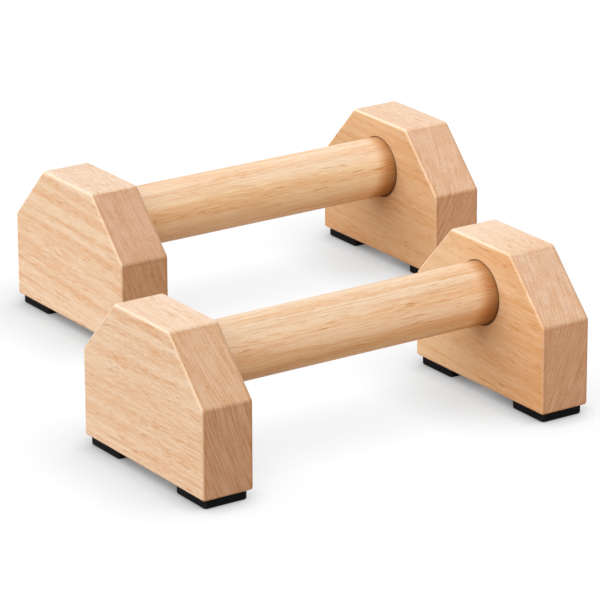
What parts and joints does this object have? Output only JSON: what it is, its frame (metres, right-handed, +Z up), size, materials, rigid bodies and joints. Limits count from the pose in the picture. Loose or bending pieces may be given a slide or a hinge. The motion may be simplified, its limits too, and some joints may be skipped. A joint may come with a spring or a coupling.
{
  "type": "parallette bars",
  "caption": "Low wooden parallette bars, each a round grip between shouldered end blocks on flat rubber feet, for push-up and handstand training.",
  "frame": {"origin": "on the floor, at the centre of the pair's bounding box", "axes": "+X along the grips, +Y from the front bar to the rear bar, +Z up"},
  "size_m": [0.377, 0.377, 0.1],
  "materials": {
    "block_wood": "pale golden beech, sanded and matt oiled",
    "grip_wood": "pale golden beech dowel, fine sanded, satin",
    "foot_rubber": "black moulded rubber, satin",
    "tape": "dark double-sided foam tape",
    "screw_steel": "zinc-plated steel"
  },
  "bodies": {
    "front_bar": {"front_grip_bar": "grip_wood", "front_left_end_block": "block_wood", "front_left_lock_screw": "screw_steel", "front_left_outer_foot": "foot_rubber", "front_left_outer_foot_tape": "tape", "front_left_inner_foot": "foot_rubber", "front_left_inner_foot_tape": "tape", "front_right_end_block": "block_wood", "front_right_lock_screw": "screw_steel", "front_right_outer_foot": "foot_rubber", "front_right_outer_foot_tape": "tape", "front_right_inner_foot": "foot_rubber", "front_right_inner_foot_tape": "tape"},
    "rear_bar": {"rear_grip_bar": "grip_wood", "rear_left_end_block": "block_wood", "rear_left_lock_screw": "screw_steel", "rear_left_outer_foot": "foot_rubber", "rear_left_outer_foot_tape": "tape", "rear_left_inner_foot": "foot_rubber", "rear_left_inner_foot_tape": "tape", "rear_right_end_block": "block_wood", "rear_right_lock_screw": "screw_steel", "rear_right_outer_foot": "foot_rubber", "rear_right_outer_foot_tape": "tape", "rear_right_inner_foot": "foot_rubber", "rear_right_inner_foot_tape": "tape"}
  },
  "joints": [
    {"name": "rear_bar_spacing", "type": "slide", "parent": "front_bar", "child": "rear_bar", "axis": [0, 1, 0], "range_m": [-0.11, 0.4]}
  ]
}
